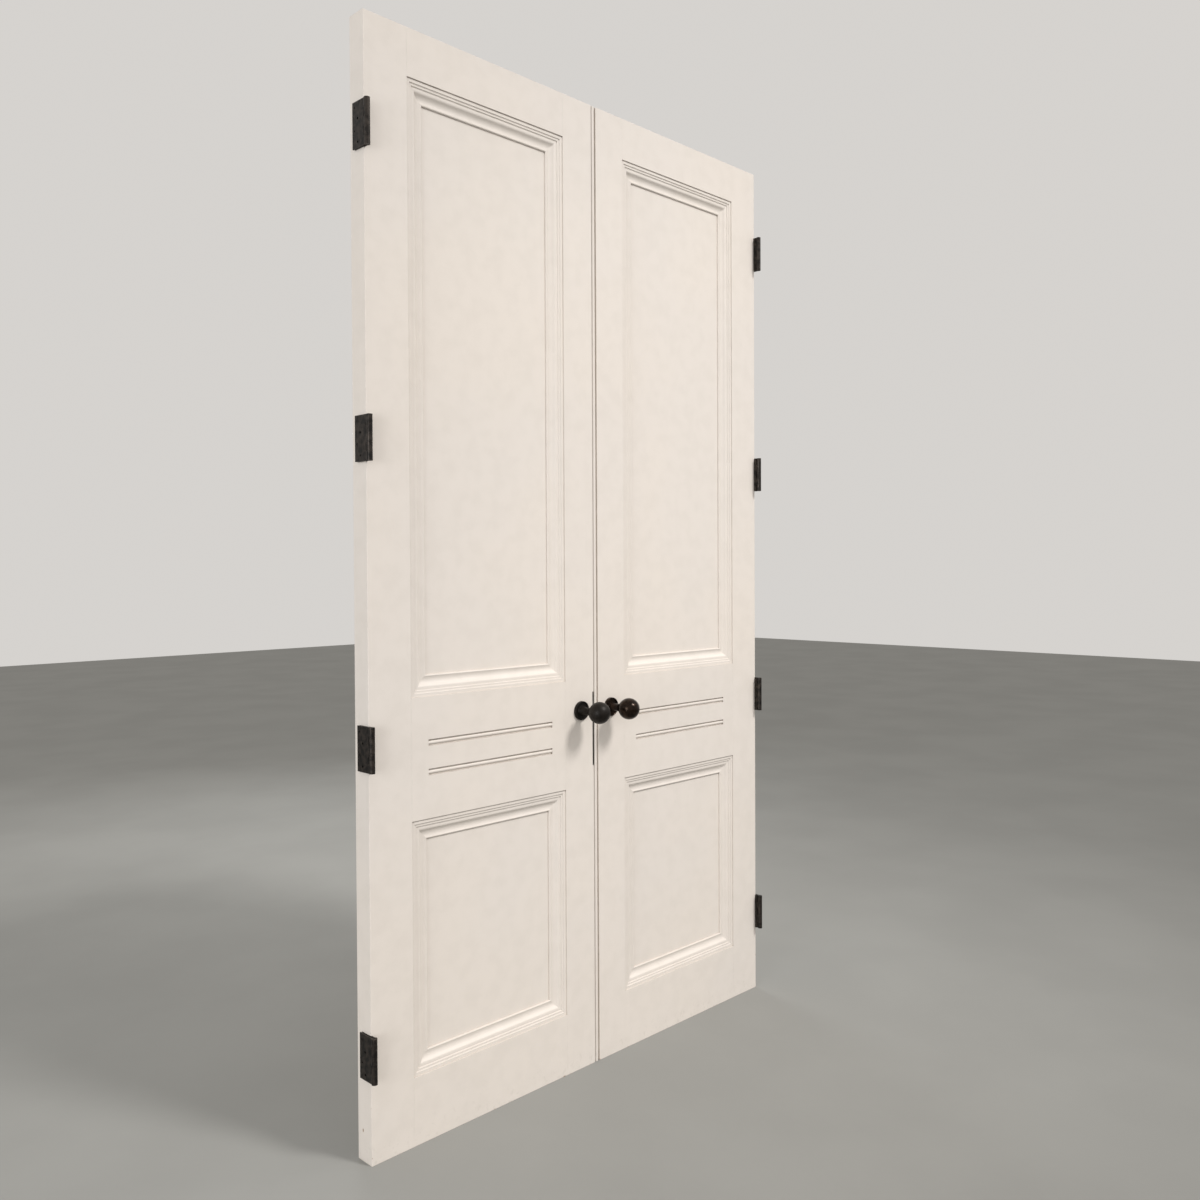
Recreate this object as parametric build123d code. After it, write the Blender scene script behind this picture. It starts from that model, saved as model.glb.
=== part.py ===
"""A pair of tall, solid, panelled timber doors with their hinges, latch and ball knobs.

Frame: X runs across the pair, +Y points to the back, +Z is up. The origin is at the bottom, in the
middle of the pair and of its thickness. The doors are shut. The part's own frame-side hinge plates
stand still, and each door swings on its hinge pins towards the front, which faces -Y.
"""

from build123d import *
from math import cos, radians, sin, sqrt, tan
import os

# The pair
pair_width = 1412.0
door_height = 2540.0
door_thickness = 54.0
meeting_gap = 3.0
meeting_bevel = 2.5  # degrees that each meeting edge falls back, so that its back corner swings clear

# Framing of each door
hanging_stile_width = 114.0
meeting_stile_width = 102.0
top_rail_height = 110.0
lock_rail_height = 282.0
bottom_rail_height = 158.0
arris_radius = 1.5
tenon_thickness = 18.0
tenon_length = 60.0
tenon_end_play = 2.0
tenon_shoulder = 25.0  # from the end of a stile to the outer tenons
tenon_from_case = 3.0  # from the lock's case to the lock rail's tenons above and below it
groove_width = 12.0
groove_depth = 13.0
panel_play = 0.5

# Cover bead along the right door's meeting edge
cover_bead_width = 11.0
cover_quirk_width = 3.5
cover_quirk_depth = 4.0

# Panels and the sunk mouldings round them
panel_sink = 17.0  # from the door's face down to the panel's face
moulding_width = 49.0
moulding_set_back = 2.5  # from the door's face down to the moulding's outer flat
outer_flat = 8.5
step_run = 1.0
step_drop = 2.2
step_flat = 5.2
round_over_radius = 7.0
hollow_fall = 50.0  # degrees below level where the round-over passes into the hollow
hollow_rise = 30.0  # degrees above level where the hollow meets the crest
crest_height = 4.6  # from the panel's face up to the crest along the moulding's inner edge
crest_radius = 2.6

# Sunk beads across the lock rail
rail_bead_inset = 47.0
rail_bead_width = 9.0
rail_quirk_width = 3.0
rail_quirk_depth = 3.5
rail_bead_pitch = 68.0

# Butt hinges
hinge_count = 4
hinge_height = 101.6
hinge_plate_width = 50.8  # from the pin's axis to the plate's far edge
hinge_plate_thickness = 3.0
hinge_plate_gap = 3.0  # between the two plates when the door is shut
hinge_projection = 15.5  # from the door's face out to the pin's axis
top_hinge_drop = 248.0
bottom_hinge_rise = 240.0
knuckle_radius = 6.75
knuckle_count = 5
knuckle_gap = 0.4
pin_radius = 3.2
pin_clearance = 0.05
pin_end_recess = 0.6
plate_screw_offset = 12.7  # height of the inner pair of screws above and below the plate's middle
plate_screw_spacing = 25.4
outer_screw_inset = 9.5
inner_screw_inset = 21.0

# Countersunk screws
screw_length = 30.0
screw_head_radius = 4.75
screw_shank_radius = 2.5
screw_clearance = 0.25

# Knobs
knob_rise = 946.0
knob_above_rail = 60.0  # from the middle of the lock rail up to the knobs' axis
knob_from_middle = 55.5
ball_radius = 28.5
ball_reach = 69.0  # from the door's face to the middle of the ball
journal_radius = 9.0
collar_radius = 12.5
waist_radius = 10.0
neck_end_radius = 14.0
knob_face_gap = 0.3
rose_radius = 25.0
rose_thickness = 7.0
rose_rim_width = 3.5
rose_dish = 2.8
running_clearance = 0.05
spindle_width = 8.0
spindle_socket = 25.0
spindle_hole_radius = 8.0

# Latch
forend_past_case = 22.5  # from the case's top or bottom to the forend's
forend_thickness = 4.0
forend_width = 30.0
forend_screw_inset = 12.0
strike_thickness = 2.5
case_height = 150.0
case_depth = 66.0
case_thickness = 16.0
case_wall = 1.5
case_headroom = 4.0  # from the top of the latch bolt up to the case's top
latch_height = 20.0
latch_thickness = 12.0
latch_head_length = 30.0
latch_rise = 9.0  # middle of the latch bolt above the knobs' axis
latch_travel = 12.0
latch_clearance = 0.3
latch_tail_thickness = 4.0
knob_turn = 50.0  # degrees
horn_tip_radius = 2.0
horn_arm_width = 2.2
fork_clearance = 0.3
fork_prong = 4.0

# Sizes worked out from those above
half_thickness = door_thickness / 2
cover_strip = cover_bead_width + cover_quirk_width
left_width = (pair_width - meeting_gap - cover_strip) / 2
right_width = left_width + cover_strip
hanging_edge = -pair_width / 2
opening_width = left_width - hanging_stile_width - meeting_stile_width
opening_left = hanging_edge + hanging_stile_width
opening_right = opening_left + opening_width
lock_rail_rise = knob_rise - knob_above_rail
lower_opening = (bottom_rail_height, lock_rail_rise - lock_rail_height / 2)
upper_opening = (lock_rail_rise + lock_rail_height / 2, door_height - top_rail_height)
bevel_slope = tan(radians(meeting_bevel))
pin_x = hanging_edge - hinge_plate_gap / 2
pin_y = -half_thickness - hinge_projection
knuckle_length = (hinge_height - (knuckle_count - 1) * knuckle_gap) / knuckle_count
bore_radius = pin_radius + pin_clearance
screw_hole_radius = screw_shank_radius + screw_clearance
latch_middle = knob_rise + latch_rise
case_top = latch_middle + latch_height / 2 + case_headroom
case_bottom = case_top - case_height
forend_rise = (case_top + case_bottom) / 2
forend_height = case_height + 2 * forend_past_case
lock_y = -half_thickness + forend_width / 2
horn_radius = latch_travel / 2 / sin(radians(knob_turn / 2))


def block(x_range, y_range, z_range):
    """A box between two values on each axis."""
    size = [high - low for low, high in (x_range, y_range, z_range)]
    middle = [(high + low) / 2 for low, high in (x_range, y_range, z_range)]
    return Pos(*middle) * Box(*size)


def prism(points, z_range):
    """An upright prism on an outline in the XY plane."""
    outline = make_face(Polyline(*points, close=True))
    return Pos(0, 0, z_range[0]) * extrude(outline, z_range[1] - z_range[0])


def hinge_rises():
    """Heights of the hinges' middles, from the bottom one up."""
    top = door_height - top_hinge_drop
    step = (top - bottom_hinge_rise) / (hinge_count - 1)
    return [bottom_hinge_rise + step * place for place in range(hinge_count)]


def tenon_spans(rail):
    """The tenons of one rail, as ranges of height."""
    if rail == "top_rail":
        return [(upper_opening[1] + groove_depth, door_height - tenon_shoulder)]
    if rail == "bottom_rail":
        return [(tenon_shoulder, lower_opening[0] - groove_depth)]
    low = lower_opening[1] + groove_depth
    high = upper_opening[0] - groove_depth
    return [(low, case_bottom - tenon_from_case), (case_top + tenon_from_case, high)]


def stile_cuts(inner_edge, inward):
    """Panel grooves and mortices along a stile's inner edge; inward is +1 or -1 along X."""
    cuts = []
    half_groove = groove_width / 2
    groove_x = sorted((inner_edge, inner_edge - inward * groove_depth))
    for low, high in (lower_opening, upper_opening):
        groove_z = (low - groove_depth, high + groove_depth)
        cuts.append(block(groove_x, (-half_groove, half_groove), groove_z))
    half_tenon = tenon_thickness / 2
    mortice_x = sorted((inner_edge, inner_edge - inward * (tenon_length + tenon_end_play)))
    for rail in ("top_rail", "lock_rail", "bottom_rail"):
        for span in tenon_spans(rail):
            cuts.append(block(mortice_x, (-half_tenon, half_tenon), span))
    return cuts


def hanging_stile():
    """The upright that carries the hinges, with a recess for each hinge plate."""
    stile = block(
        (hanging_edge, opening_left), (-half_thickness, half_thickness), (0, door_height)
    )
    outer_arrises = stile.edges().filter_by(Axis.Z).group_by(Axis.X)[0]
    stile = fillet(outer_arrises, arris_radius)
    stile -= stile_cuts(opening_left, 1)
    for rise in hinge_rises():
        stile -= block(
            (hanging_edge, hanging_edge + hinge_plate_thickness),
            (-half_thickness, pin_y + hinge_plate_width),
            (rise - hinge_height / 2, rise + hinge_height / 2),
        )
    return stile - hinge_screws()


def bevelled_stile(edge):
    """A meeting stile whose outer edge falls back from the front face to the back."""
    outline = [
        (opening_right, -half_thickness),
        (edge, -half_thickness),
        (edge - bevel_slope * door_thickness, half_thickness),
        (opening_right, half_thickness),
    ]
    return prism(outline, (0, door_height)) - stile_cuts(opening_right, -1)


def edge_plate(edge, thickness, front_inset):
    """A plate let flush into a bevelled meeting edge, starting front_inset behind the front face."""
    near_fall, far_fall = bevel_slope * front_inset, bevel_slope * forend_width
    front, back = -half_thickness + front_inset, -half_thickness + forend_width
    outline = [
        (edge - near_fall, front),
        (edge - thickness - near_fall, front),
        (edge - thickness - far_fall, back),
        (edge - far_fall, back),
    ]
    return prism(outline, (forend_rise - forend_height / 2, forend_rise + forend_height / 2))


def latch_passage(x_range, clearance):
    """The space that the latch bolt's head slides through."""
    half_y = latch_thickness / 2 + clearance
    half_z = latch_height / 2 + clearance
    return block(
        x_range,
        (lock_y - half_y, lock_y + half_y),
        (latch_middle - half_z, latch_middle + half_z),
    )


def across(radius, x, y_range, z):
    """A round bar or hole that runs from front to back."""
    length = y_range[1] - y_range[0]
    return Pos(x, sum(y_range) / 2, z) * Rot(90, 0, 0) * Cylinder(radius, length)


def left_meeting_stile():
    """The upright that holds the latch: recess for the forend, mortice for the case, spindle hole."""
    edge = hanging_edge + left_width
    stile = bevelled_stile(edge) - edge_plate(edge, forend_thickness, 0)
    stile -= block(
        (case_front() - case_depth, edge - forend_thickness),
        (lock_y - case_thickness / 2, lock_y + case_thickness / 2),
        (case_bottom, case_top),
    )
    through = (-half_thickness, half_thickness)
    stile -= across(spindle_hole_radius, -knob_from_middle, through, knob_rise)
    return stile - edge_screws(edge)


def right_meeting_stile():
    """The upright with the cover bead, made left-handed here and mirrored later."""
    edge = hanging_edge + right_width
    bead_radius = cover_bead_width / 2
    face = -half_thickness
    waste = block((edge - cover_strip, edge), (face, face + cover_quirk_depth), (0, door_height))
    waste += block((edge - bead_radius, edge), (face, face + bead_radius), (0, door_height))
    bead = Pos(edge - bead_radius, face + bead_radius, door_height / 2)
    waste -= bead * Cylinder(bead_radius, door_height)
    stile = bevelled_stile(edge) - waste - edge_plate(edge, strike_thickness, bead_radius)
    pocket_end = edge - strike_thickness - latch_travel
    stile -= latch_passage((pocket_end, edge), 2 * latch_clearance)
    through = (-half_thickness, half_thickness)
    stile -= across(spindle_hole_radius, -knob_from_middle, through, knob_rise)
    return stile - edge_screws(edge)


def rail(name, z_range, grooved_edges):
    """A rail with its tenons and the grooves along the edges that face a panel."""
    made = block((opening_left, opening_right), (-half_thickness, half_thickness), z_range)
    tenon_x = (opening_left - tenon_length, opening_right + tenon_length)
    for span in tenon_spans(name):
        made += block(tenon_x, (-tenon_thickness / 2, tenon_thickness / 2), span)
    for edge, inward in grooved_edges:
        groove_z = sorted((edge, edge + inward * groove_depth))
        made -= block((opening_left, opening_right), (-groove_width / 2, groove_width / 2), groove_z)
    return made


def sunk_bead_cutter():
    """What is cut away round one sunk bead on the rail's front face: the quirks, less the bead."""
    half_width = rail_bead_width / 2
    arc = ThreePointArc((-half_width, 0), (0, rail_quirk_depth), (half_width, 0))
    bead = make_face(arc + Line((half_width, 0), (-half_width, 0)))
    slot_width = rail_bead_width + 2 * rail_quirk_width
    slot = Pos(0, rail_quirk_depth / 2) * Rectangle(slot_width, rail_quirk_depth)
    length = opening_width - 2 * rail_bead_inset
    start = (opening_left + rail_bead_inset, rail_quirk_depth - half_thickness, 0)
    section = Plane(origin=start, x_dir=(0, 0, 1), z_dir=(1, 0, 0))
    return extrude(section * (slot - bead), length)


def lock_rail():
    """The middle rail, with two sunk beads across each face."""
    z_range = (lower_opening[1], upper_opening[0])
    made = rail("lock_rail", z_range, [(z_range[0], 1), (z_range[1], -1)])
    cutter = sunk_bead_cutter()
    for sign in (-1, 1):
        height = lock_rail_rise + sign * rail_bead_pitch / 2
        placed = Pos(0, 0, height) * cutter
        made -= [placed, mirror(placed, Plane.XZ)]
    return made


def panel(opening):
    """A flat panel: its edges are thinned to a tongue that sits in the grooves round it."""
    low, high = opening
    tongue = groove_depth - panel_play
    field_half = half_thickness - panel_sink
    field = block(
        (opening_left + panel_play, opening_right - panel_play),
        (-field_half, field_half),
        (low + panel_play, high - panel_play),
    )
    return field + block(
        (opening_left - tongue, opening_right + tongue),
        (-groove_width / 2, groove_width / 2),
        (low - tongue, high + tongue),
    )


def moulding_section():
    """The moulding's section: X runs in from the opening's edge, Y stands up from the panel."""
    top = panel_sink - moulding_set_back
    first = top - step_drop
    second = first - step_drop
    step_two = outer_flat + step_run + step_flat
    round_start = (step_two + step_run + step_flat, second)
    fall, rise = radians(hollow_fall), radians(hollow_rise)
    hollow_start = (
        round_start[0] + round_over_radius * sin(fall),
        round_start[1] - round_over_radius * (1 - cos(fall)),
    )
    hollow_end = (
        moulding_width - crest_radius * (1 + sin(rise)),
        crest_height - crest_radius * (1 - cos(rise)),
    )
    crown = (moulding_width - crest_radius, crest_height)
    crest_end = (moulding_width, crest_height - crest_radius)
    outline = Polyline(
        (0, 0),
        (0, top),
        (outer_flat, top),
        (outer_flat + step_run, first),
        (step_two, first),
        (step_two + step_run, second),
        round_start,
    )
    round_over = TangentArc(round_start, hollow_start, tangent=(1, 0))
    hollow = TangentArc(hollow_start, hollow_end, tangent=round_over % 1)
    crest = ThreePointArc(hollow_end, crown, crest_end)
    inner_edge = Polyline(crest_end, (moulding_width, 0), (0, 0))
    return make_face(outline + round_over + hollow + crest + inner_edge)


def moulding_frame(opening):
    """Four mitred lengths of moulding round one opening, lying on the XY plane, as seen from +Z."""
    width = opening_width
    height = opening[1] - opening[0]
    corners = [Vector(0, 0), Vector(width, 0), Vector(width, height), Vector(0, height)]
    inner = moulding_width
    inner_corners = [
        Vector(inner, inner),
        Vector(width - inner, inner),
        Vector(width - inner, height - inner),
        Vector(inner, height - inner),
    ]
    section = moulding_section()
    lengths = []
    for place in range(4):
        start, end = corners[place], corners[(place + 1) % 4]
        run = (end - start).normalized()
        inward = Vector(0, 0, 1).cross(run)
        bar = extrude(Plane(origin=start, x_dir=inward, z_dir=run) * section, (end - start).length)
        mask = [start, end, inner_corners[(place + 1) % 4], inner_corners[place]]
        mitre = extrude(make_face(Polyline(*mask, close=True)), panel_sink)
        lengths.append((bar & mitre).solids()[0])
    return lengths


def front_mouldings(opening):
    """The mouldings on the front of one panel."""
    corner = (opening_left, panel_sink - half_thickness, opening[0])
    seat = Plane(origin=corner, x_dir=(1, 0, 0), z_dir=(0, -1, 0))
    return Compound(children=[seat.location * length for length in moulding_frame(opening)])


def hinge_section(with_knuckle):
    """Section of a hinge plate, with the pin's axis at the origin and the plate towards +Y."""
    relief = knuckle_radius + knuckle_gap
    plate_start = 0 if with_knuckle else relief
    plate_end = relief if with_knuckle else hinge_plate_width
    plate_middle = ((hinge_plate_gap + hinge_plate_thickness) / 2, (plate_start + plate_end) / 2)
    plate = Pos(*plate_middle) * Rectangle(hinge_plate_thickness, plate_end - plate_start)
    if not with_knuckle:
        return plate
    return plate + Circle(knuckle_radius) - Circle(bore_radius)


def on_hinge_plate(reach, height):
    """A place on the plate's open face: reach from the pin's axis, height above the hinge's middle."""
    face = Plane(origin=(hinge_plate_gap / 2, 0, 0), x_dir=(0, 0, 1), z_dir=(-1, 0, 0))
    return face.location * Pos(height, reach)


def plate_screw_places(turned):
    """Distance from the pin and height of each screw, staggered; a turned plate is end for end."""
    places = []
    for row in range(4):
        height = plate_screw_offset + plate_screw_spacing - plate_screw_spacing * row
        inset = outer_screw_inset if row % 2 == 0 else inner_screw_inset
        places.append((hinge_plate_width - inset, -height if turned else height))
    return places


def countersunk_hole(depth):
    """A hole down -Z from the origin, for the head and shank of a screw."""
    sink = screw_head_radius - screw_shank_radius
    cone = Pos(0, 0, -sink / 2) * Cone(
        screw_hole_radius, screw_head_radius + screw_clearance, sink
    )
    return cone + Pos(0, 0, -depth / 2) * Cylinder(screw_hole_radius, depth)


def screw():
    """A countersunk wood screw down -Z from the origin, tapering to its point; no thread or slot."""
    sink = screw_head_radius - screw_shank_radius
    outline = Polyline(
        (0, 0),
        (screw_head_radius, 0),
        (screw_shank_radius, -sink),
        (screw_shank_radius, -screw_length / 2),
        (0, -screw_length),
        close=True,
    )
    return revolve(Plane.XZ * make_face(outline), Axis.Z)


def hinge_plate(first_knuckle, turned):
    """One plate of a hinge with every second knuckle, from first_knuckle, in the hinge's own frame."""
    made = Pos(0, 0, -hinge_height / 2) * extrude(hinge_section(False), hinge_height)
    for place in range(first_knuckle, knuckle_count, 2):
        low = -hinge_height / 2 + place * (knuckle_length + knuckle_gap)
        made += Pos(0, 0, low) * extrude(hinge_section(True), knuckle_length)
    for reach, height in plate_screw_places(turned):
        made -= on_hinge_plate(reach, height) * countersunk_hole(hinge_plate_thickness)
    return made


def hinge_place(rise):
    """Where a left-hand hinge stands."""
    return Pos(pin_x, pin_y, rise)


def door_plate(rise):
    """The plate that is let into the door's edge."""
    return hinge_place(rise) * hinge_plate(1, True)


def frame_plate(rise):
    """The plate that a door frame would take, folded parallel to the door's edge."""
    return hinge_place(rise) * mirror(hinge_plate(0, False), Plane.YZ)


def left_hinge_pins():
    """The pins of the left-hand hinges."""
    length = hinge_height - 2 * pin_end_recess
    return [hinge_place(rise) * Cylinder(pin_radius, length) for rise in hinge_rises()]


def hinge_screws():
    """The screws that hold the door's hinge plates."""
    one = screw()
    return [
        hinge_place(rise) * on_hinge_plate(reach, height) * one
        for rise in hinge_rises()
        for reach, height in plate_screw_places(True)
    ]


def case_front():
    """The lock case's front plane, just behind the slope of the forend."""
    return hanging_edge + left_width - forend_thickness - bevel_slope * forend_width


def case_space(inset):
    """The lock case's box, less an inset on every side."""
    half_y = case_thickness / 2 - inset
    return block(
        (case_front() - case_depth + inset, case_front() - inset),
        (lock_y - half_y, lock_y + half_y),
        (case_bottom + inset, case_top - inset),
    )


def case_holes():
    """Holes for the follower's hub and for the latch bolt."""
    hub = across(
        journal_radius + running_clearance,
        -knob_from_middle,
        (lock_y - case_thickness, lock_y + case_thickness),
        knob_rise,
    )
    window = latch_passage((case_front() - 2 * case_wall, case_front()), latch_clearance)
    return [hub, window]


def lock_case():
    """A thin steel tray, open at the back, where the cover closes it."""
    tray = case_space(0) - case_space(case_wall)
    return tray - case_lid_space() - case_holes()


def case_lid_space():
    """The slice of the case's box that the cover fills."""
    box = case_space(0).bounding_box()
    return block((box.min.X, box.max.X), (box.max.Y - case_wall, box.max.Y), (box.min.Z, box.max.Z))


def lock_cover():
    """The plate that closes the case."""
    return case_lid_space() - case_holes()


def edge_screw_places(edge):
    """Where the two screws of a meeting edge's plate stand, sunk just below the plate's slope."""
    head = edge - bevel_slope * (forend_width / 2 + screw_head_radius)
    spread = forend_height / 2 - forend_screw_inset
    return [
        Plane(origin=(head, lock_y, forend_rise + height), x_dir=(0, 1, 0), z_dir=(1, 0, 0)).location
        for height in (-spread, spread)
    ]


def edge_screws(edge):
    """The two screws of the forend or of the strike plate."""
    return [place * screw() for place in edge_screw_places(edge)]


def screwed_edge_plate(edge, thickness, front_inset):
    """An edge plate with its two countersunk holes."""
    plate = edge_plate(edge, thickness, front_inset)
    sinking = Pos(0, 0, thickness / 2) * Cylinder(screw_head_radius + screw_clearance, thickness)
    for place in edge_screw_places(edge):
        plate -= [place * countersunk_hole(2 * thickness), place * sinking]
    return plate


def forend():
    """The plate on the left door's edge that the latch bolt comes out of."""
    edge = hanging_edge + left_width
    passage = latch_passage((case_front(), edge), latch_clearance)
    return screwed_edge_plate(edge, forend_thickness, 0) - passage


def strike_plate():
    """The plate on the right door's edge that takes the latch bolt, left-handed here."""
    edge = hanging_edge + right_width
    passage = latch_passage((edge - 2 * strike_thickness, edge), 2 * latch_clearance)
    return screwed_edge_plate(edge, strike_thickness, cover_bead_width / 2) - passage


def latch_bolt():
    """The bolt, drawn back: a head bevelled at the back, a thin tail, and a fork over the horn."""
    nose = hanging_edge + left_width - bevel_slope * forend_width - latch_clearance
    front = lock_y - latch_thickness / 2
    back = lock_y + latch_thickness / 2
    bevel = latch_thickness * 0.75
    outline = [
        (nose, front),
        (nose, back - bevel),
        (nose - bevel, back),
        (nose - latch_head_length, back),
        (nose - latch_head_length, front),
    ]
    z_range = (latch_middle - latch_height / 2, latch_middle + latch_height / 2)
    head = prism(outline, z_range)
    fork_middle = -knob_from_middle - latch_travel / 2
    fork_half = horn_tip_radius + fork_clearance
    tail_low = knob_rise + horn_radius * cos(radians(knob_turn / 2)) - 0.7 * horn_tip_radius
    half_tail = latch_tail_thickness / 2
    tail_y = (lock_y - half_tail, lock_y + half_tail)
    tail_end = fork_middle - fork_half - fork_prong
    tail = block((tail_end, nose - latch_head_length), tail_y, (tail_low, z_range[1]))
    tip_top = knob_rise + horn_radius + horn_tip_radius + fork_clearance
    notch = block((fork_middle - fork_half, fork_middle + fork_half), tail_y, (tail_low, tip_top))
    return head + tail - notch


def follower():
    """The hub that the spindle turns, with the horn that moves the latch bolt's fork."""
    hub_y = (lock_y - case_thickness / 2, lock_y + case_thickness / 2)
    horn_y = (lock_y - latch_tail_thickness / 2, lock_y + latch_tail_thickness / 2)
    made = across(journal_radius, 0, hub_y, 0)
    arm_x = (-horn_arm_width / 2, horn_arm_width / 2)
    made += block(arm_x, horn_y, (0, horn_radius))
    made += across(horn_tip_radius, 0, horn_y, horn_radius)
    made = Rot(0, -knob_turn / 2, 0) * made
    return Pos(-knob_from_middle, 0, knob_rise) * made - spindle_space(0)


def spindle_space(shorten):
    """The square bar through the knobs, from socket end to socket end."""
    half_width = spindle_width / 2
    reach = half_thickness + spindle_socket - shorten
    return block(
        (-knob_from_middle - half_width, -knob_from_middle + half_width),
        (-reach, reach),
        (knob_rise - half_width, knob_rise + half_width),
    )


def on_front(turned):
    """Place something turned about Z, standing up from the XY plane, on the front face."""
    seat = Plane(
        origin=(-knob_from_middle, -half_thickness, knob_rise), x_dir=(1, 0, 0), z_dir=(0, -1, 0)
    )
    return seat.location * turned


def knob():
    """A ball knob on a waisted neck, with the square socket for the bar."""
    collar_start = rose_thickness + knob_face_gap
    collar_end = collar_start + 2
    neck_end = ball_reach - sqrt(ball_radius**2 - neck_end_radius**2)
    outline = Polyline(
        (0, knob_face_gap),
        (journal_radius, knob_face_gap),
        (journal_radius, collar_start),
        (collar_radius, collar_start),
        (collar_radius, collar_end),
    )
    waist = (waist_radius, collar_end + 0.45 * (neck_end - collar_end))
    outline += ThreePointArc((collar_radius, collar_end), waist, (neck_end_radius, neck_end))
    outline += ThreePointArc(
        (neck_end_radius, neck_end), (ball_radius, ball_reach), (0, ball_reach + ball_radius)
    )
    outline += Line((0, ball_reach + ball_radius), (0, knob_face_gap))
    turned = revolve(Plane.XZ * make_face(outline), Axis.Z)
    return on_front(turned) - spindle_space(0)


def rose():
    """A round rose with a raised rim and a dished face, bored for the knob's journal."""
    bore = journal_radius + running_clearance
    outline = Polyline(
        (bore, 0),
        (rose_radius, 0),
        (rose_radius, rose_thickness - rose_rim_width / 2),
    )
    rim_start = rose_radius - rose_rim_width
    outline += ThreePointArc(
        (rose_radius, rose_thickness - rose_rim_width / 2),
        (rose_radius - rose_rim_width / 2, rose_thickness),
        (rim_start, rose_thickness - rose_rim_width / 2),
    )
    outline += Polyline(
        (rim_start, rose_thickness - rose_rim_width / 2),
        (rim_start, rose_thickness - rose_dish),
        (collar_radius + 1, rose_thickness - rose_dish),
        (collar_radius - 1, rose_thickness),
        (bore, rose_thickness),
        (bore, 0),
    )
    return on_front(revolve(Plane.XZ * make_face(outline), Axis.Z))


def panelled_framing():
    """The nodes that both doors share, all made left-handed."""
    nodes = {
        "hanging_stile": hanging_stile(),
        "top_rail": rail(
            "top_rail", (upper_opening[1], door_height), [(upper_opening[1], 1)]
        ),
        "lock_rail": lock_rail(),
        "bottom_rail": rail("bottom_rail", (0, lower_opening[0]), [(lower_opening[0], -1)]),
    }
    for name, opening in (("upper", upper_opening), ("lower", lower_opening)):
        front = front_mouldings(opening)
        nodes[f"{name}_panel"] = panel(opening)
        nodes[f"{name}_moulding_front"] = front
        nodes[f"{name}_moulding_back"] = mirror(front, Plane.XZ)
    for place, rise in enumerate(hinge_rises(), start=1):
        nodes[f"hinge_{place}_door_plate"] = door_plate(rise)
        nodes[f"hinge_{place}_frame_plate"] = frame_plate(rise)
    front_knob, front_rose = knob(), rose()
    nodes["hinge_screws"] = Compound(children=hinge_screws())
    nodes["knob_front"] = front_knob
    nodes["knob_back"] = mirror(front_knob, Plane.XZ)
    nodes["rose_front"] = front_rose
    nodes["rose_back"] = mirror(front_rose, Plane.XZ)
    nodes["knob_bar"] = spindle_space(0)
    return nodes


def all_nodes():
    """Every node of the part by name, at rest, with the doors shut."""
    shared = panelled_framing()
    nodes = {f"left_{name}": shape for name, shape in shared.items()}
    nodes |= {f"right_{name}": mirror(shape, Plane.YZ) for name, shape in shared.items()}
    nodes["left_meeting_stile"] = left_meeting_stile()
    nodes["right_meeting_stile"] = mirror(right_meeting_stile(), Plane.YZ)
    pins = left_hinge_pins()
    nodes["hinge_pins"] = Compound(children=pins + [mirror(pin, Plane.YZ) for pin in pins])
    nodes["forend"] = forend()
    nodes["forend_screws"] = Compound(children=edge_screws(hanging_edge + left_width))
    nodes["strike_plate"] = mirror(strike_plate(), Plane.YZ)
    strike_screws = Compound(children=edge_screws(hanging_edge + right_width))
    nodes["strike_screws"] = mirror(strike_screws, Plane.YZ)
    nodes["lock_case"] = lock_case()
    nodes["lock_cover"] = lock_cover()
    nodes["latch_bolt"] = latch_bolt()
    nodes["follower"] = follower()
    return nodes


if __name__ == "__main__":
    os.makedirs("parts", exist_ok=True)
    for node_name, node_shape in all_nodes().items():
        export_step(node_shape, f"parts/{node_name}.step")
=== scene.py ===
"""Finishes, screws, studio and camera for a pair of tall panelled doors.

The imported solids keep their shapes. This script gives each one its finish, puts slotted screws
where the plain ones are, and stands the pair on a pale floor in soft studio light, seen from the
photograph's place.
"""

import logging
import math
from collections.abc import Iterable, Mapping
from dataclasses import dataclass
from enum import Enum

import bmesh
import bpy
import numpy as np
from mathutils import Euler, Matrix, Vector


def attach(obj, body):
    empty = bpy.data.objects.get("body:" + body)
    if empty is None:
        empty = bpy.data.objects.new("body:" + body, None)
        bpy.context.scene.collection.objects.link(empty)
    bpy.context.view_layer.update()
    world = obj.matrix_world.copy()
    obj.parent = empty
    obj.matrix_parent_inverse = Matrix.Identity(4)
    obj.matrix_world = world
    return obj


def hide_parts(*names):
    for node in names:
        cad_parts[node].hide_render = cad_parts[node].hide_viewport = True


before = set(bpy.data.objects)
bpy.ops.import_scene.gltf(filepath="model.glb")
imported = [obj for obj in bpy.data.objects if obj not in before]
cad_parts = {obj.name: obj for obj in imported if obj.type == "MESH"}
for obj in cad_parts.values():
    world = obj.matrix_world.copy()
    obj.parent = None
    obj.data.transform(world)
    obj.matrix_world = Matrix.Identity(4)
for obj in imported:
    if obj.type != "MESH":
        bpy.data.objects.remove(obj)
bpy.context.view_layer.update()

log = logging.getLogger("doors")

MM = 0.001
EDGE_SAMPLES = 6

Colour = tuple[float, float, float]
Point = tuple[float, float, float]
Feed = bpy.types.NodeSocket | float | tuple[float, ...]


class Grain(Enum):
    """How a piece's brush marks run: the value is the stretch of the noise along X, Y and Z."""

    UPRIGHT = (1.0, 1.0, 0.02)
    LEVEL = (0.02, 1.0, 1.0)


class Side(Enum):
    """A door of the pair: the value is the sign of its X."""

    LEFT = -1
    RIGHT = 1

    @property
    def word(self) -> str:
        """The side's word in node names."""
        return self.name.lower()


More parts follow.
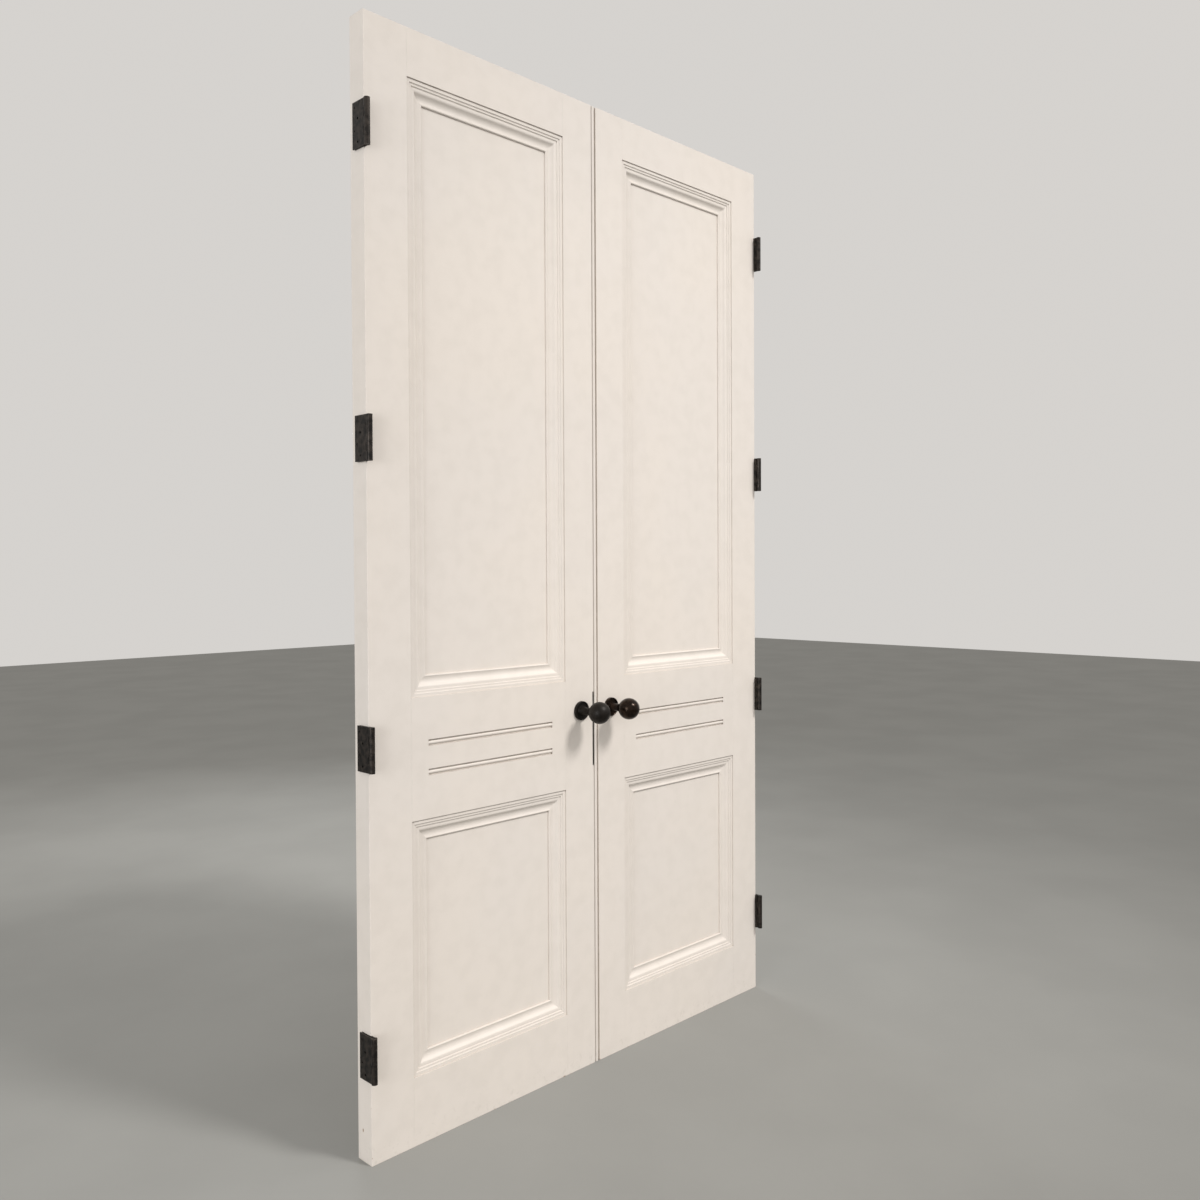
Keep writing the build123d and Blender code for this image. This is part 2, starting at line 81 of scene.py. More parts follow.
class Graph:
    """One material's node tree, built from short calls."""

    def __init__(self, name: str) -> None:
        """Start a material with one principled shader.

        Args:
            name: The material's name.
        """
        self.material = bpy.data.materials.new(name)
        self.material.use_nodes = True
        self.tree = self.material.node_tree
        self.shader = self.tree.nodes["Principled BSDF"]
        self.place = self.node("TexCoord").outputs["Object"]

    def node(
        self, kind: str, feeds: Mapping[str | int, Feed] | None = None, **options: object
    ) -> bpy.types.Node:
        """Add a node.

        Args:
            kind: The node's type, without its ShaderNode prefix.
            feeds: What each input takes, a socket or a value, by name or place.
            options: The node's own settings.

        Returns:
            The new node.
        """
        made = self.tree.nodes.new("ShaderNode" + kind)
        for key, value in options.items():
            setattr(made, key, value)
        for key, value in (feeds or {}).items():
            self.feed(made.inputs[key], value)
        return made

    def feed(self, socket: bpy.types.NodeSocket, value: Feed) -> None:
        """Link a socket to an input, or set the input's own value.

        Args:
            socket: The input.
            value: The socket or value that it takes.
        """
        if isinstance(value, bpy.types.NodeSocket):
            self.tree.links.new(value, socket)
        elif socket.type == "RGBA" and len(value) == 3:
            socket.default_value = (*value, 1.0)
        else:
            socket.default_value = value

    def stretched(self, factors: Point) -> bpy.types.NodeSocket:
        """The object's coordinates scaled by a factor on each axis.

        Args:
            factors: The scale along X, Y and Z.

        Returns:
            The scaled coordinates.
        """
        feeds = {"Vector": self.place, "Scale": factors}
        return self.node("Mapping", feeds).outputs["Vector"]

    def noise(
        self,
        scale: float,
        detail: float = 3.0,
        coords: bpy.types.NodeSocket | None = None,
        distortion: float = 0.0,
    ) -> bpy.types.NodeSocket:
        """Solid noise from 0 to 1.

        Args:
            scale: Features per metre.
            detail: Octaves.
            coords: The coordinates, or None for the object's own.
            distortion: How far the noise bends itself.

        Returns:
            The noise.
        """
        feeds = {
            "Vector": coords or self.place,
            "Scale": scale,
            "Detail": detail,
            "Distortion": distortion,
        }
        return self.node("TexNoise", feeds).outputs[0]

    def remap(
        self, value: Feed, low: float, high: float, start: float = 0.0, end: float = 1.0
    ) -> bpy.types.NodeSocket:
        """Map a range to another one, smoothly and with its ends held.

        Args:
            value: What is mapped.
            low: The value that becomes start.
            high: The value that becomes end.
            start: The result at low.
            end: The result at high.

        Returns:
            The mapped value.
        """
        feeds = {0: value, 1: low, 2: high, 3: start, 4: end}
        return self.node("MapRange", feeds, interpolation_type="SMOOTHSTEP").outputs[0]

    def calc(self, operation: str, *values: Feed) -> bpy.types.NodeSocket:
        """One sum.

        Args:
            operation: The Math node's operation.
            values: Its one to three inputs.

        Returns:
            The result.
        """
        return self.node("Math", dict(enumerate(values)), operation=operation).outputs[0]

    def vector(self, operation: str, *values: Feed) -> bpy.types.Node:
        """One sum of vectors.

        Args:
            operation: The Vector Math node's operation.
            values: Its one or two inputs.

        Returns:
            The node, whose first output is a vector and whose second is a number.
        """
        return self.node("VectorMath", dict(enumerate(values)), operation=operation)

    def nearness(
        self, reach: float, normal: bpy.types.NodeSocket | None = None
    ) -> bpy.types.NodeSocket:
        """How open the surroundings are, from 0 for shut in to 1 for open.

        Args:
            reach: How far away a face still counts, in metres.
            normal: The way to look, or None for the surface's own.

        Returns:
            The openness.
        """
        feeds: dict[str | int, Feed] = {"Distance": reach}
        if normal is not None:
            feeds["Normal"] = normal
        return self.node("AmbientOcclusion", feeds, samples=EDGE_SAMPLES).outputs["AO"]

    def mix(self, factor: Feed, first: Feed, second: Feed) -> bpy.types.NodeSocket:
        """Blend two colours.

        Args:
            factor: 0 for the first, 1 for the second.
            first: The first colour.
            second: The second colour.

        Returns:
            The blended colour.
        """
        # Places 6 and 7 are the node's two colours, and its third output is their blend.
        feeds = {0: factor, 6: first, 7: second}
        return self.node("Mix", feeds, data_type="RGBA").outputs[2]

    def axes(self) -> list[bpy.types.NodeSocket]:
        """The object's X, Y and Z coordinates."""
        return list(self.node("SeparateXYZ", {0: self.place}).outputs)

    def relief(
        self,
        layers: Iterable[tuple[bpy.types.NodeSocket, float]],
        base: bpy.types.NodeSocket | None = None,
    ) -> None:
        """Raise the surface by several heights, as bump.

        Args:
            layers: Pairs of a height from 0 to 1 and its depth in millimetres.
            base: The normal that the bump starts from, or None for the surface's own.
        """
        total: Feed = 0.0
        for height, depth in layers:
            total = self.calc("MULTIPLY_ADD", height, depth, total)
        feeds = {"Height": total, "Distance": MM, "Strength": 1.0}
        if base is not None:
            feeds["Normal"] = base
        bump = self.node("Bump", feeds)
        self.feed(self.shader.inputs["Normal"], bump.outputs["Normal"])

    def set(self, **values: Feed) -> None:
        """Give the shader's inputs their sockets or values, by name with _ for a space."""
        for key, value in values.items():
            self.feed(self.shader.inputs[key.replace("_", " ")], value)

    def set_gloss(self, gloss: float) -> None:
        """Set how strongly the surface mirrors, with 0.5 for a usual one."""
        self.shader.inputs["Specular IOR Level"].default_value = gloss


@dataclass(frozen=True)
class Opening:
    """A panel's opening in one door, without its side, in metres."""

    near_x: float
    far_x: float
    low_z: float
    high_z: float


@dataclass(frozen=True)
class SatinPaint:
    """Old warm off-white satin paint on timber, laid on with a brush along each piece."""

    colour: Colour = (0.80, 0.738, 0.678)
    cool_tone: Colour = (0.785, 0.73, 0.68)
    # Tan for crevices, where the darkening is partly dirt and partly painted shade.
    grime: Colour = (0.43, 0.30, 0.165)
    # Near-black painted shade, below ledges and in the deepest gaps.
    soot: Colour = (0.085, 0.048, 0.022)
    scuff: Colour = (0.50, 0.46, 0.40)
    timber: Colour = (0.33, 0.22, 0.13)
    roughness: float = 0.44
    gloss: float = 0.44
    hair_scale: float = 620.0
    stroke_scale: float = 75.0
    skin_scale: float = 260.0
    hair_depth: float = 0.022
    stroke_depth: float = 0.11
    skin_depth: float = 0.025
    chip_depth: float = 0.25
    arris: float = 1.1 * MM
    grime_reach: float = 7 * MM
    scuff_height: float = 0.09
    chip_height: float = 0.3
    nick: Point = (-0.706, 0.007, 0.069)
    nick_squeeze: Point = (1.0, 1.0, 0.45)
    # Tilts the occlusion's look upwards, so that places below ledges get painted shade as if lit
    # from above.
    under_tilt: Point = (0.0, 0.0, 0.9)
    half_width: float = 0.706
    half_depth: float = 0.027
    height: float = 2.54

    def material(self, name: str, grain: Grain | Opening) -> bpy.types.Material:
        """Make the paint for pieces whose grain runs one way, or round an opening.

        Args:
            name: The material's name.
            grain: The way the brush went, or the opening that a mitred moulding goes round.

        Returns:
            The material.
        """
        graph = Graph(name)
        along = self.brush_coords(graph, grain)
        hairs = graph.noise(self.hair_scale, 3.0, along)
        strokes = graph.noise(self.stroke_scale, 2.0, along, 0.3)
        skin = graph.noise(self.skin_scale, 2.0)
        dirt_and_shade_mask, painted_shade_mask = self.crevices(graph)
        scuffed = self.scuffed(graph)
        chipped = self.chipped(graph)
        tone = graph.remap(graph.noise(1.4, 3.0), 0.38, 0.62)
        colour = graph.mix(tone, self.colour, self.cool_tone)
        worn = graph.remap(graph.noise(26.0, 5.0), 0.35, 0.75, 0.0, 0.10)
        colour = graph.mix(worn, colour, self.scuff)
        # Crevices darken, partly with dirt and partly with painted shade.
        colour = graph.mix(dirt_and_shade_mask, colour, self.grime)
        # Painted shade below ledges and in the deepest gaps.
        colour = graph.mix(painted_shade_mask, colour, self.soot)
        colour = graph.mix(scuffed, colour, self.scuff)
        colour = graph.mix(chipped, colour, self.timber)
        sheen = graph.remap(strokes, 0.3, 0.7, self.roughness - 0.05, self.roughness + 0.06)
        dulled = graph.calc("MULTIPLY_ADD", scuffed, 0.25, sheen)
        rough = graph.calc("MULTIPLY_ADD", dirt_and_shade_mask, 0.2, dulled)
        graph.set(Base_Color=colour, Roughness=rough)
        graph.set_gloss(self.gloss)
        soft = graph.node("Bevel", {"Radius": self.arris}, samples=EDGE_SAMPLES)
        layers = [
            (hairs, self.hair_depth),
            (strokes, self.stroke_depth),
            (skin, self.skin_depth),
            (chipped, -self.chip_depth),
        ]
        graph.relief(layers, soft.outputs["Normal"])
        return graph.material

    def brush_coords(self, graph: Graph, grain: Grain | Opening) -> bpy.types.NodeSocket:
        """Coordinates that stretch the brush marks along the piece.

        Args:
            graph: The material's graph.
            grain: The way the brush went, or the opening that a mitred moulding goes round.

        Returns:
            The stretched coordinates.
        """
        if isinstance(grain, Grain):
            return graph.stretched(grain.value)
        x, _, z = graph.axes()
        across = graph.calc("ABSOLUTE", x)
        from_side = graph.calc(
            "MINIMUM",
            graph.calc("SUBTRACT", across, grain.near_x),
            graph.calc("SUBTRACT", grain.far_x, across),
        )
        from_end = graph.calc(
            "MINIMUM",
            graph.calc("SUBTRACT", z, grain.low_z),
            graph.calc("SUBTRACT", grain.high_z, z),
        )
        level = graph.calc("GREATER_THAN", from_side, from_end)
        # Places 4 and 5 are the node's two vectors, and its second output is their blend.
        feeds = {
            0: level,
            4: graph.stretched(Grain.UPRIGHT.value),
            5: graph.stretched(Grain.LEVEL.value),
        }
        return graph.node("Mix", feeds, data_type="VECTOR").outputs[1]

    def crevices(self, graph: Graph) -> tuple[bpy.types.NodeSocket, bpy.types.NodeSocket]:
        """Darkening in quirks, grooves and inner corners, partly dirt and partly painted shade,
        and darker painted shade below ledges and in the deepest gaps.

        Args:
            graph: The material's graph.

        Returns:
            How far each place is darkened by dirt and painted shade, and how far by the darker
            painted shade, from 0 to 1.
        """
        around = graph.nearness(self.grime_reach)
        # Shut-in places darken by ambient occlusion: partly dirt, partly painted shade.
        deep = graph.remap(around, 0.48, 0.20, 0.0, 0.8)
        patches = graph.remap(graph.noise(38.0, 4.0), 0.3, 0.7, 0.7, 1.0)
        # Occlusion looked for upwards gives painted shade below ledges, as from light above.
        facing = graph.node("NewGeometry").outputs["Normal"]
        tilted = graph.vector("ADD", facing, self.under_tilt).outputs[0]
        upward = graph.vector("NORMALIZE", tilted).outputs[0]
        above = graph.nearness(self.grime_reach, upward)
        painted_shade_mask = graph.remap(above, 0.45, 0.25, 0.0, 1.0)
        # The most shut-in places, such as the meeting gap, get the same dark painted shade.
        deep_recess_shade = graph.remap(around, 0.26, 0.14, 0.0, 0.95)
        combined_shade = graph.calc("MAXIMUM", graph.calc("MULTIPLY", painted_shade_mask, patches), deep_recess_shade)
        return graph.calc("MULTIPLY", deep, patches), combined_shade

    def scuffed(self, graph: Graph) -> bpy.types.NodeSocket:
        """Dull scuffs near the floor, thinning out upwards.

        Args:
            graph: The material's graph.

        Returns:
            How far each place is scuffed, from 0 to 1.
        """
        low = graph.remap(graph.axes()[2], 0.0, self.scuff_height, 0.22, 0.0)
        marks = graph.remap(graph.noise(70.0, 6.0, None, 0.6), 0.55, 0.72)
        return graph.calc("MULTIPLY", low, marks)

    def chipped(self, graph: Graph) -> bpy.types.NodeSocket:
        """Small chips down to the timber: a few on the low arrises, and one on the left edge.

        Args:
            graph: The material's graph.

        Returns:
            How far each place is chipped, from 0 to 1.
        """
        x, y, z = graph.axes()
        from_side = graph.calc("SUBTRACT", self.half_width, graph.calc("ABSOLUTE", x))
        from_face = graph.calc("SUBTRACT", self.half_depth, graph.calc("ABSOLUTE", y))
        from_end = graph.calc("MINIMUM", z, graph.calc("SUBTRACT", self.height, z))
        pair = (from_side, from_face)
        nearer, farther = graph.calc("MINIMUM", *pair), graph.calc("MAXIMUM", *pair)
        arris = graph.calc("MAXIMUM", nearer, graph.calc("MINIMUM", farther, from_end))
        near = graph.remap(arris, 0.8 * MM, 3.6 * MM, 1.0, 0.0)
        bites = graph.remap(graph.noise(95.0, 5.0), 0.66, 0.70)
        low = graph.remap(z, self.chip_height / 2, self.chip_height, 1.0, 0.0)
        few = graph.calc("MULTIPLY", graph.calc("MULTIPLY", near, bites), low)
        away = graph.vector("SUBTRACT", graph.place, self.nick).outputs[0]
        squeezed = graph.vector("MULTIPLY", away, self.nick_squeeze).outputs[0]
        reach = graph.vector("LENGTH", squeezed).outputs["Value"]
        ragged = graph.calc("MULTIPLY_ADD", graph.noise(700.0), -2.2 * MM, reach)
        return graph.calc("MAXIMUM", few, graph.remap(ragged, 0.5 * MM, 1.0 * MM, 1.0, 0.0))


@dataclass(frozen=True)
class Metal:
    """A metal finish with patches, rubbed edges and fine scratches or pits."""

    colour: Colour
    patch: Colour
    rubbed: Colour
    metallic: float = 1.0
    gloss: float = 0.5
    roughness: float = 0.4
    rubbed_share: float = 0.5
    rubbed_reach: float = 0.7 * MM
    grain: Point = (1.0, 1.0, 1.0)
    streak_scale: float = 420.0
    cloud_scale: float = 80.0
    pit_scale: float = 900.0
    streak_depth: float = 0.02
    cloud_depth: float = 0.12
    pit_depth: float = 0.05

    def material(self, name: str) -> bpy.types.Material:
        """Make the metal.

        Args:
            name: The material's name.

        Returns:
            The material.
        """
        graph = Graph(name)
        along = graph.stretched(self.grain)
        streaks = graph.noise(self.streak_scale, 4.0, along)
        clouds = graph.noise(self.cloud_scale, 5.0, None, 0.4)
        pits = graph.noise(self.pit_scale, 3.0)
        colour = graph.mix(graph.remap(clouds, 0.35, 0.65), self.colour, self.patch)
        edge = self.rubbed_edges(graph, streaks)
        colour = graph.mix(edge, colour, self.rubbed)
        rough = graph.remap(streaks, 0.25, 0.75, self.roughness - 0.1, self.roughness + 0.12)
        shine = graph.calc("MULTIPLY_ADD", edge, -0.12, rough)
        graph.set(Base_Color=colour, Roughness=shine, Metallic=self.metallic)
        graph.set_gloss(self.gloss)
        depths = (self.streak_depth, self.pit_depth, self.cloud_depth)
        graph.relief(zip((streaks, pits, clouds), depths))
        return graph.material

    def rubbed_edges(self, graph: Graph, streaks: bpy.types.NodeSocket) -> bpy.types.NodeSocket:
        """Bright edges, where hands and other metal have rubbed the finish thin.

        Args:
            graph: The material's graph.
            streaks: Noise that breaks the edges up.

        Returns:
            How far each place is rubbed, from 0 to 1.
        """
        rounded = graph.node("Bevel", {"Radius": self.rubbed_reach}, samples=4).outputs["Normal"]
        facing = graph.node("NewGeometry").outputs["Normal"]
        turn = graph.vector("DOT_PRODUCT", rounded, facing).outputs["Value"]
        edge = graph.remap(turn, 0.985, 0.88)
        broken = graph.remap(streaks, 0.35, 0.65, 0.15, 1.0)
        share = graph.calc("MULTIPLY", edge, broken)
        return graph.calc("MULTIPLY", share, self.rubbed_share)


BLACK_IRON = Metal(
    colour=(0.015, 0.0135, 0.0125),
    patch=(0.050, 0.041, 0.035),
    rubbed=(0.15, 0.135, 0.12),
    metallic=0.75,
    roughness=0.44,
    rubbed_share=0.35,
    grain=(1.0, 1.0, 0.08),
    pit_depth=0.04,
)
KNOB_BLACK = Metal(
    colour=(0.0085, 0.0065, 0.005),
    patch=(0.014, 0.011, 0.0085),
    rubbed=(0.16, 0.115, 0.085),
    metallic=0.4,
    gloss=0.3,
    roughness=0.42,
    rubbed_share=0.7,
    pit_depth=0.02,
)
KNOB_BRONZE = Metal(
    colour=(0.012, 0.007, 0.0045),
    patch=(0.028, 0.016, 0.010),
    rubbed=(0.12, 0.07, 0.04),
    metallic=0.8,
    roughness=0.22,
    rubbed_share=0.7,
    pit_depth=0.015,
)
DARK_STEEL = Metal(
    colour=(0.006, 0.0055, 0.005),
    patch=(0.013, 0.011, 0.010),
    rubbed=(0.08, 0.072, 0.064),
    metallic=0.7,
    gloss=0.25,
    roughness=0.45,
    rubbed_share=0.6,
    grain=(1.0, 1.0, 0.05),
)
PLAIN_STEEL = Metal(
    colour=(0.50, 0.49, 0.47),
    patch=(0.40, 0.37, 0.33),
    rubbed=(0.62, 0.61, 0.59),
    roughness=0.34,
    grain=(1.0, 0.05, 1.0),
    pit_depth=0.02,
)


def dress(names: Iterable[str], finish: bpy.types.Material) -> None:
    """Give several CAD nodes one finish.

    Args:
        names: The nodes.
        finish: Their material.
    """
    for name in names:
        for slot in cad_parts[name].material_slots:
            slot.material = finish


@dataclass
class Joinery:
    """The two doors' timber: stiles, rails, panels and mouldings."""

    near_x: float = 110.75 * MM
    far_x: float = 592.0 * MM
    lower: tuple[float, float] = (158.0 * MM, 745.0 * MM)
    upper: tuple[float, float] = (1027.0 * MM, 2430.0 * MM)

    def build(self) -> None:
        """Paint every timber piece along its own grain."""
        paint = SatinPaint()
        upright = paint.material("paint_upright", Grain.UPRIGHT)
        level = paint.material("paint_level", Grain.LEVEL)
        mitred = {
            name: paint.material(f"paint_{name}_moulding", self.opening(name))
            for name in ("lower", "upper")
        }
        for side in Side:
            word = side.word
            uprights = ("hanging_stile", "meeting_stile", "upper_panel", "lower_panel")
            dress((f"{word}_{part}" for part in uprights), upright)
            dress((f"{word}_{part}_rail" for part in ("top", "lock", "bottom")), level)
            for name, finish in mitred.items():
                dress((f"{word}_{name}_moulding_{face}" for face in ("front", "back")), finish)
            log.info("joinery: %s door painted", word)

    def opening(self, name: str) -> Opening:
        """One panel's opening.

        Args:
            name: lower or upper.

        Returns:
            The opening.
        """
        return Opening(self.near_x, self.far_x, *getattr(self, name))


@dataclass
class Hinges:
    """The eight butt hinges and their pins."""

    count: int = 4

    def build(self) -> None:
        """Blacken every plate and pin."""
        iron = BLACK_IRON.material("blackened_iron")
        for side in Side:
            plates = (
                f"{side.word}_hinge_{place}_{part}_plate"
                for place in range(1, self.count + 1)
                for part in ("door", "frame")
            )
            dress(plates, iron)
            log.info("hinges: %s plates blackened", side.word)
        dress(["hinge_pins"], iron)


@dataclass
class Furniture:
    """The ball knobs with their roses, and the latch in the left door."""

    handled: tuple[str, ...] = ("knob_front", "knob_back", "rose_front", "rose_back")
    edging: tuple[str, ...] = ("forend", "strike_plate")
    hidden: tuple[str, ...] = ("lock_case", "lock_cover", "latch_bolt", "follower")
    bars: tuple[str, ...] = ("left_knob_bar", "right_knob_bar")

    def build(self) -> None:
        """Finish the knobs, the roses and the latch's pieces."""
        finishes = {
            Side.LEFT: KNOB_BLACK.material("knob_black"),
            Side.RIGHT: KNOB_BRONZE.material("knob_bronze"),
        }
        for side, finish in finishes.items():
            dress((f"{side.word}_{part}" for part in self.handled), finish)
            log.info("furniture: %s knobs and roses finished", side.word)
        dress(self.edging, DARK_STEEL.material("darkened_steel"))
        dress(self.hidden + self.bars, PLAIN_STEEL.material("plain_steel"))
        log.info("furniture: latch finished")


@dataclass
class SlottedScrews:
    """Slotted countersunk wood screws that stand where one node's plain screws are."""

    node: str
    body: str
    slot: str
    facing: int
    head_radius: float = 4.75 * MM
    shank_radius: float = 2.5 * MM
    length: float = 30.0 * MM
    slot_width: float = 1.1 * MM
    slot_depth: float = 1.2 * MM
    crown: float = 0.15 * MM
    thread_depth: float = 0.7 * MM
    thread_pitch: float = 2.2 * MM
    thread_span: tuple[float, float] = (0.35, 0.97)
    crown_share: float = 0.55
    sides: int = 24
    thread_rows: int = 56
    slot_turn: float = 2.4
    sharp_angle: float = math.radians(35)

    def build(self, finish: bpy.types.Material) -> None:
        """Make the screws, and put them in the node's place.

        Args:
            finish: Their material.
        """
        pattern = self.one_screw()
        points, faces = [], []
        for place, head in enumerate(self.heads()):
            turn = Matrix.Rotation(self.slot_turn * place, 4, "Z")
            aim = Matrix.Rotation(self.facing * math.pi / 2, 4, "Y")
            stand = Matrix.Translation(head) @ aim @ turn
            start = len(points)
            points += [stand @ vertex.co for vertex in pattern.vertices]
            faces += [[start + corner for corner in face.vertices] for face in pattern.polygons]
        mesh = bpy.data.meshes.new(f"{self.node}_slotted")
        mesh.from_pydata(points, [], faces)
        mesh.materials.append(finish)
        mesh.shade_smooth()
        mesh.set_sharp_from_angle(angle=self.sharp_angle)
        piece = bpy.data.objects.new(f"{self.node}_slotted", mesh)
        bpy.context.scene.collection.objects.link(piece)
        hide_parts(self.node)
        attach(piece, self.body)
        log.info("screws: %s, %d faces", piece.name, len(faces))

    def heads(self) -> list[Vector]:
        """Find the plain screws' heads in the node, from its separate solids.

        Returns:
            The middle of each head's face, from the lowest screw up.
        """
        solid = bmesh.new()
        solid.from_mesh(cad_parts[self.node].data)
        bmesh.ops.remove_doubles(solid, verts=solid.verts, dist=0.01 * MM)
        found, left = [], set(solid.verts)
        while left:
            queue, island = [left.pop()], []
            while queue:
                vertex = queue.pop()
                island.append(vertex.co.copy())
                for edge in vertex.link_edges:
                    other = edge.other_vert(vertex)
                    if other in left:
                        left.remove(other)
                        queue.append(other)
            corners = np.array(island)
            low, high = corners.min(0), corners.max(0)
            middle = (low + high) / 2
            middle[0] = high[0] if self.facing > 0 else low[0]
            found.append(Vector(middle))
        solid.free()
        return sorted(found, key=lambda head: (head.z, head.y))

    def outline(self) -> list[tuple[float, float, bool]]:
        """Draw half of a screw's outline, from the crown down to the tip.

        Returns:
            Rows of a radius, a height and whether the thread goes round there.
        """
        sink = self.head_radius - self.shank_radius
        rows = [
            (self.crown_share * self.head_radius, 0.0, False),
            (self.head_radius, -self.crown, False),
            (self.head_radius, -2 * self.crown, False),
            (self.shank_radius, -sink, False),
        ]
        thread_start, thread_end = (-part * self.length for part in self.thread_span)
        for row in range(self.thread_rows + 1):
            share = row / self.thread_rows
            height = thread_start + (thread_end - thread_start) * share
            taper = min(1.0, 2 * (self.length + height) / self.length)
            rows.append((self.shank_radius * taper, height, True))
        return rows

    def one_screw(self) -> bpy.types.Mesh:
        """Turn one screw about Z with its head at the origin, and cut its slot.

        Returns:
            The screw's mesh.
        """
        solid = bmesh.new()
        rings = []
        for radius, height, threaded in self.outline():
            ring = []
            for side in range(self.sides):
                angle = 2 * math.pi * side / self.sides
                reach = radius
                if threaded:
                    phase = (height / self.thread_pitch - side / self.sides) % 1.0
                    groove = abs(2 * phase - 1)
                    reach -= min(self.thread_depth, 0.5 * radius) * groove
                ring.append(
                    solid.verts.new((reach * math.cos(angle), reach * math.sin(angle), height))
                )
            rings.append(ring)
        solid.faces.new(rings[0])
        for upper, lower in zip(rings, rings[1:]):
            for side in range(self.sides):
                after = (side + 1) % self.sides
                solid.faces.new((upper[after], upper[side], lower[side], lower[after]))
        tip = solid.verts.new((0, 0, -self.length))
        for side in range(self.sides):
            solid.faces.new((rings[-1][(side + 1) % self.sides], rings[-1][side], tip))
        turned = self.as_object(solid, "screw_turned")
        cutter = bmesh.new()
        size = (3 * self.head_radius, self.slot_width, 2 * self.slot_depth)
        bmesh.ops.create_cube(cutter, size=1.0, matrix=Matrix.Diagonal((*size, 1.0)))
        blade = self.as_object(cutter, "screw_slot")
        cut = turned.modifiers.new("slot", "BOOLEAN")
        cut.object = blade
        cut.solver = "EXACT"
        graph = bpy.context.evaluated_depsgraph_get()
        made = bpy.data.meshes.new_from_object(turned.evaluated_get(graph))
        for scrap in (turned, blade):
            bpy.data.objects.remove(scrap)
        return made

    @staticmethod
    def as_object(solid: bmesh.types.BMesh, name: str) -> bpy.types.Object:
        """Turn a bmesh into an object in the scene.

        Args:
            solid: The bmesh, which is freed.
            name: The object's name.

        Returns:
            The object.
        """
        mesh = bpy.data.meshes.new(name)
        bmesh.ops.recalc_face_normals(solid, faces=solid.faces)
        solid.to_mesh(mesh)
        solid.free()
        made = bpy.data.objects.new(name, mesh)
        bpy.context.scene.collection.objects.link(made)
        return made


SCREWS = (
    SlottedScrews("left_hinge_screws", "left_door", "screw_steel", facing=-1),
    SlottedScrews("right_hinge_screws", "right_door", "screw_steel", facing=1),
    SlottedScrews("forend_screws", "left_door", "lock_furniture", facing=1),
    SlottedScrews("strike_screws", "right_door", "lock_furniture", facing=-1),
)


@dataclass(frozen=True)
class Lamp:
    """A soft light that looks at a point: a square, or a round one that fades within a cone."""

    name: str
    place: Point
    aim: Point
    size: float
    power: float
    colour: Colour
    cone: float = 0.0

    def build(self) -> None:
        """Hang the light."""
        light = bpy.data.lights.new(self.name, "SPOT" if self.cone else "AREA")
        if self.cone:
            light.shadow_soft_size = self.size / 2
            light.spot_size = math.radians(self.cone)
            light.spot_blend = 1.0
        else:
            light.size = self.size
        light.energy = self.power
        light.color = self.colour
        lamp = bpy.data.objects.new(self.name, light)
        lamp.location = self.place
        look = Vector(self.aim) - Vector(self.place)
        lamp.rotation_euler = look.to_track_quat("-Z", "Y").to_euler()
        lamp.visible_camera = False
        bpy.context.scene.collection.objects.link(lamp)


WARM: Colour = (1.0, 0.975, 0.95)
NEUTRAL: Colour = (0.97, 0.985, 1.0)
LAMPS = (
    Lamp("key", (3.07, -8.8, 10.36), (0.25, 0.0, 0.98), 3.1, 4950.0, WARM, cone=23.0),
    Lamp("second", (1.75, -1.75, 2.99), (0.1, 0.0, 1.0), 0.3, 4.0, WARM),
    Lamp("near", (0.56, -1.62, 2.99), (-0.3, 0.0, 1.6), 0.2, 1.5, WARM),
    Lamp("fill", (-6.4, -1.7, 1.5), (-0.3, 0.0, 1.2), 3.0, 150.0, NEUTRAL),
    Lamp("rear", (1.5, 3.6, 2.8), (0.0, 0.0, 1.2), 1.5, 40.0, NEUTRAL),
)


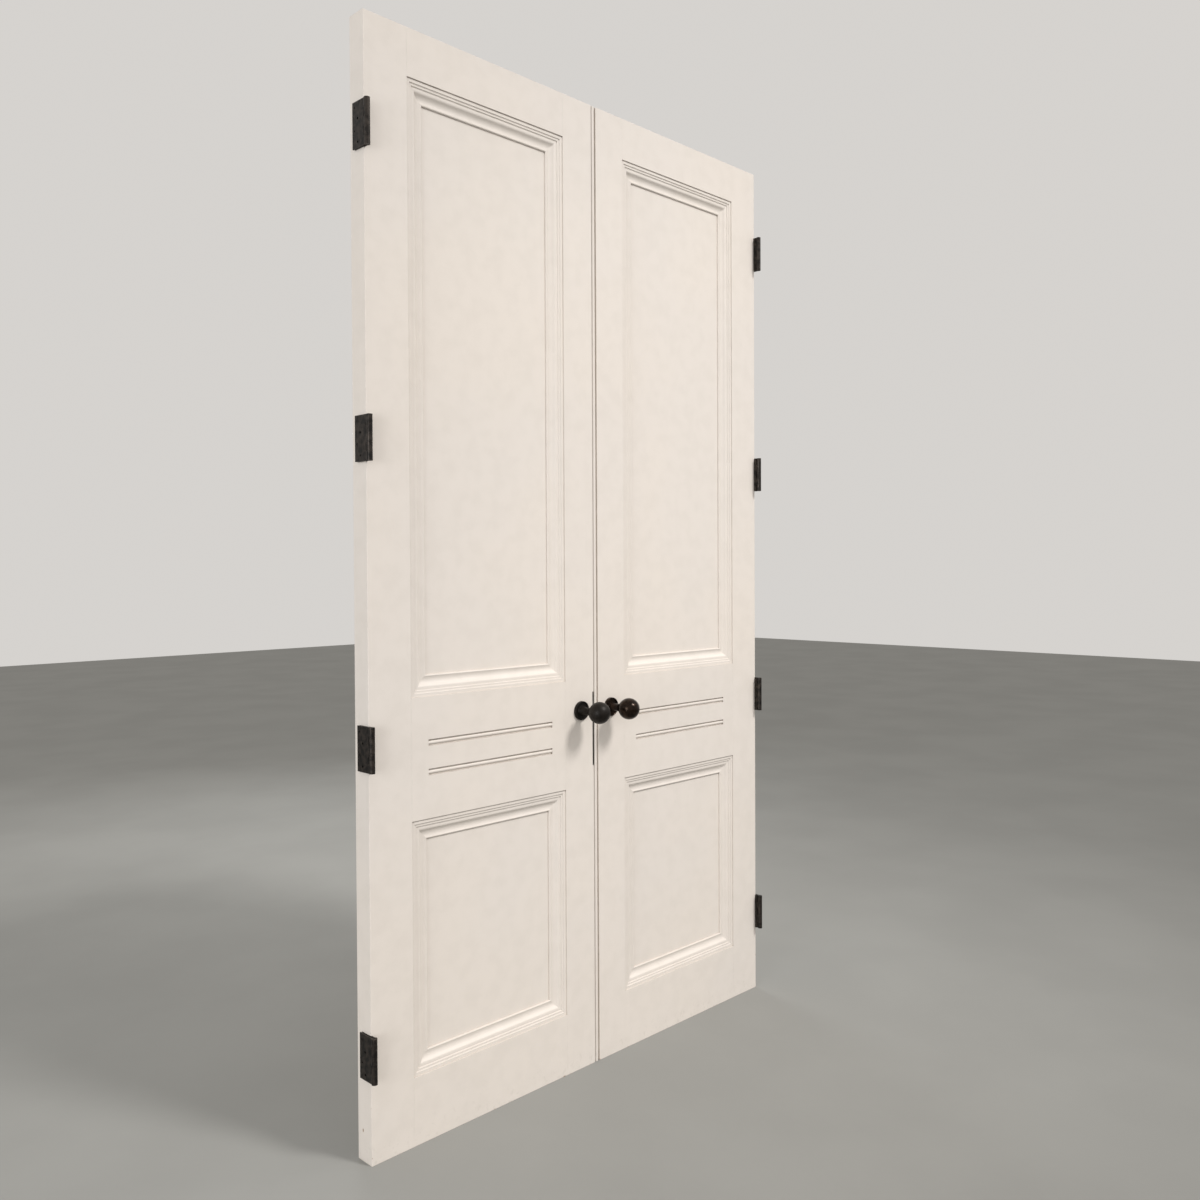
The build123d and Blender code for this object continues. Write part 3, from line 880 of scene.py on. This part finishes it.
@dataclass
class Studio:
    """A pale floor, soft lights and an even pale surround."""

    floor_reach: float = 14.0
    floor_colour: Colour = (0.33, 0.33, 0.315)
    floor_shade: float = 0.94
    surround: Colour = (1.0, 0.968, 0.93)
    surround_strength: float = 0.67

    def build(self) -> None:
        """Lay the floor, hang the lights and set the surround."""
        self.lay_floor()
        for lamp in LAMPS:
            lamp.build()
        world = bpy.data.worlds.new("surround")
        world.use_nodes = True
        background = world.node_tree.nodes["Background"]
        background.inputs["Color"].default_value = (*self.surround, 1.0)
        background.inputs["Strength"].default_value = self.surround_strength
        bpy.context.scene.world = world
        bpy.context.scene.view_settings.view_transform = "Standard"
        log.info("studio: floor, %d lights and surround", len(LAMPS))

    def lay_floor(self) -> None:
        """Make the floor with its own faint mottling."""
        reach = self.floor_reach
        corners = [(-reach, -reach, 0), (reach, -reach, 0), (reach, reach, 0), (-reach, reach, 0)]
        mesh = bpy.data.meshes.new("floor")
        mesh.from_pydata(corners, [], [(0, 1, 2, 3)])
        graph = Graph("floor_pale")
        patches = graph.remap(graph.noise(1.7, 5.0), 0.3, 0.7)
        darker = tuple(self.floor_shade * part for part in self.floor_colour)
        graph.set(Base_Color=graph.mix(patches, self.floor_colour, darker), Roughness=0.6)
        graph.set_gloss(0.0)
        graph.relief([(graph.noise(60.0, 4.0), 0.3)])
        mesh.materials.append(graph.material)
        floor = bpy.data.objects.new("floor", mesh)
        bpy.context.scene.collection.objects.link(floor)


@dataclass(frozen=True)
class Viewpoint:
    """The photograph's camera."""

    place: Point = (-2.00839, -2.03687, 1.32393)
    turn: Point = (89.12211, 0.26851, -45.23719)
    lens: float = 32.0467
    sensor: float = 36.0
    shift_y: float = -17.0 / 1200.0
    far_clip: float = 100.0

    def build(self) -> None:
        """Set the camera up."""
        data = bpy.data.cameras.new("camera")
        data.lens = self.lens
        data.sensor_width = self.sensor
        data.shift_y = self.shift_y
        data.clip_end = self.far_clip
        camera = bpy.data.objects.new("camera", data)
        camera.location = self.place
        camera.rotation_euler = Euler([math.radians(angle) for angle in self.turn], "XYZ")
        bpy.context.scene.collection.objects.link(camera)
        bpy.context.scene.camera = camera
        log.info("camera: placed")


def main() -> None:
    """Dress the pair and set up the studio."""
    logging.basicConfig(level=logging.INFO, format="%(name)s %(message)s")
    Joinery().build()
    Hinges().build()
    Furniture().build()
    dark = DARK_STEEL.material("screw_steel_dark")
    for screws in SCREWS:
        screws.build(dark)
    Studio().build()
    Viewpoint().build()


if __name__ == "__main__":
    main()
